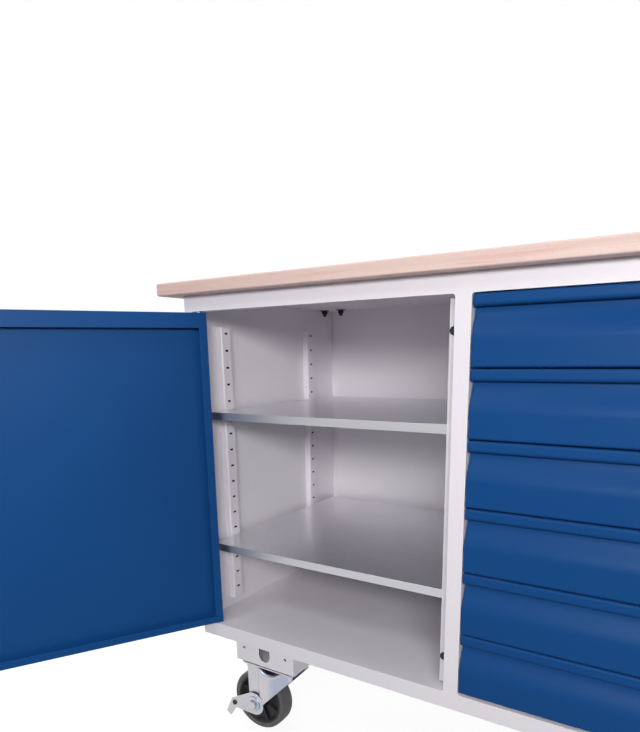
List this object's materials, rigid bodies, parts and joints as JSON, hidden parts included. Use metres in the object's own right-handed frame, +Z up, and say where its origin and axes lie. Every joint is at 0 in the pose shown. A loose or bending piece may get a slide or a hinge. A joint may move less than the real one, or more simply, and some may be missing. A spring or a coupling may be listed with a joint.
{
  "type": "mobile workbench",
  "caption": "Mobile workbench: sheet-steel cabinet with a shelved cupboard and a stack of grip-lip drawers under a beech worktop, on swivel and fixed castors.",
  "frame": {"origin": "on the floor, at the middle of the footprint with the door open as at rest", "axes": "+X to the right along the bench, +Y to its back, +Z up"},
  "size_m": [1.3242, 0.9836, 0.8873],
  "materials": {
    "beech": "oiled",
    "cabinet_grey": "powder coat",
    "front_blue": "powder coat",
    "galvanised_steel": "galvanised",
    "zinc_plate": "bright zinc",
    "black_rubber": "matt",
    "grey_tyre": "matt",
    "black_rim": "moulded"
  },
  "bodies": {
    "cabinet": {"worktop": "beech", "front_frame": "cabinet_grey", "left_side_panel": "cabinet_grey", "right_side_panel": "cabinet_grey", "top_panel": "cabinet_grey", "floor_panel": "cabinet_grey", "back_panel": "cabinet_grey", "centre_partition": "cabinet_grey", "shelf_upright_left_front": "cabinet_grey", "shelf_upright_left_rear": "cabinet_grey", "shelf_upright_centre_front": "cabinet_grey", "shelf_upright_centre_rear": "cabinet_grey", "left_castor_carrier": "cabinet_grey", "right_castor_carrier": "cabinet_grey", "upper_shelf": "galvanised_steel", "lower_shelf": "galvanised_steel", "clip_upper_left_front": "zinc_plate", "clip_upper_left_rear": "zinc_plate", "clip_upper_centre_front": "zinc_plate", "clip_upper_centre_rear": "zinc_plate", "clip_lower_left_front": "zinc_plate", "clip_lower_left_rear": "zinc_plate", "clip_lower_centre_front": "zinc_plate", "clip_lower_centre_rear": "zinc_plate", "runner_rack_left": "zinc_plate", "runner_rack_right": "zinc_plate", "upper_bumper": "black_rubber", "lower_bumper": "black_rubber", "front_swivel_plate": "zinc_plate", "front_fixed_fork": "zinc_plate", "rear_swivel_plate": "zinc_plate", "rear_fixed_fork": "zinc_plate"},
    "door": {"door_panel": "front_blue", "upper_hinge_pin": "zinc_plate", "lower_hinge_pin": "zinc_plate"},
    "door_lock": {"door_lock": "zinc_plate"},
    "drawer_1": {"drawer_front_1": "front_blue", "drawer_tray_1": "cabinet_grey"},
    "drawer_2": {"drawer_front_2": "front_blue", "drawer_tray_2": "cabinet_grey"},
    "drawer_3": {"drawer_front_3": "front_blue", "drawer_tray_3": "cabinet_grey"},
    "drawer_4": {"drawer_front_4": "front_blue", "drawer_tray_4": "cabinet_grey"},
    "drawer_5": {"drawer_front_5": "front_blue", "drawer_tray_5": "cabinet_grey"},
    "drawer_6": {"drawer_front_6": "front_blue", "drawer_tray_6": "cabinet_grey"},
    "front_swivel_fork": {"front_swivel_fork": "zinc_plate"},
    "front_brake_pedal": {"front_brake_pedal": "zinc_plate"},
    "front_left_wheel": {"front_left_tyre": "grey_tyre", "front_left_rim": "black_rim"},
    "front_right_wheel": {"front_right_tyre": "grey_tyre", "front_right_rim": "black_rim"},
    "rear_swivel_fork": {"rear_swivel_fork": "zinc_plate"},
    "rear_brake_pedal": {"rear_brake_pedal": "zinc_plate"},
    "rear_left_wheel": {"rear_left_tyre": "grey_tyre", "rear_left_rim": "black_rim"},
    "rear_right_wheel": {"rear_right_tyre": "grey_tyre", "rear_right_rim": "black_rim"}
  },
  "joints": [
    {"name": "door_hinge", "type": "hinge", "parent": "cabinet", "child": "door", "pos_m": [-0.4129, -0.06319, 0.532], "axis": [0, 0, 1], "range_deg": [-5, 120]},
    {"name": "door_lock_turn", "type": "hinge", "parent": "door", "child": "door_lock", "pos_m": [-0.6421, -0.44817, 0.532], "axis": [0.866, -0.5, 0], "range_deg": [0, 90]},
    {"name": "drawer_1_slide", "type": "slide", "parent": "cabinet", "child": "drawer_1", "axis": [0, -1, 0], "range_m": [0, 0.38]},
    {"name": "drawer_2_slide", "type": "slide", "parent": "cabinet", "child": "drawer_2", "axis": [0, -1, 0], "range_m": [0, 0.38]},
    {"name": "drawer_3_slide", "type": "slide", "parent": "cabinet", "child": "drawer_3", "axis": [0, -1, 0], "range_m": [0, 0.38]},
    {"name": "drawer_4_slide", "type": "slide", "parent": "cabinet", "child": "drawer_4", "axis": [0, -1, 0], "range_m": [0, 0.38]},
    {"name": "drawer_5_slide", "type": "slide", "parent": "cabinet", "child": "drawer_5", "axis": [0, -1, 0], "range_m": [0, 0.38]},
    {"name": "drawer_6_slide", "type": "slide", "parent": "cabinet", "child": "drawer_6", "axis": [0, -1, 0], "range_m": [0, 0.38]},
    {"name": "front_castor_swivel", "type": "hinge", "parent": "cabinet", "child": "front_swivel_fork", "pos_m": [-0.2899, -0.02369, 0.14], "axis": [0, 0, 1], "continuous": true},
    {"name": "front_left_wheel_spin", "type": "hinge", "parent": "front_swivel_fork", "child": "front_left_wheel", "pos_m": [-0.3299, -0.02369, 0.0625], "axis": [0, 1, 0], "continuous": true},
    {"name": "front_brake", "type": "hinge", "parent": "front_swivel_fork", "child": "front_brake_pedal", "pos_m": [-0.3299, -0.02369, 0.0625], "axis": [0, 1, 0], "range_deg": [0, 20]},
    {"name": "front_right_wheel_spin", "type": "hinge", "parent": "cabinet", "child": "front_right_wheel", "pos_m": [0.4691, -0.02369, 0.0625], "axis": [0, 1, 0], "continuous": true},
    {"name": "rear_castor_swivel", "type": "hinge", "parent": "cabinet", "child": "rear_swivel_fork", "pos_m": [-0.2899, 0.39831, 0.14], "axis": [0, 0, 1], "continuous": true},
    {"name": "rear_left_wheel_spin", "type": "hinge", "parent": "rear_swivel_fork", "child": "rear_left_wheel", "pos_m": [-0.3299, 0.39831, 0.0625], "axis": [0, 1, 0], "continuous": true},
    {"name": "rear_brake", "type": "hinge", "parent": "rear_swivel_fork", "child": "rear_brake_pedal", "pos_m": [-0.3299, 0.39831, 0.0625], "axis": [0, 1, 0], "range_deg": [0, 20]},
    {"name": "rear_right_wheel_spin", "type": "hinge", "parent": "cabinet", "child": "rear_right_wheel", "pos_m": [0.4691, 0.39831, 0.0625], "axis": [0, 1, 0], "continuous": true}
  ]
}
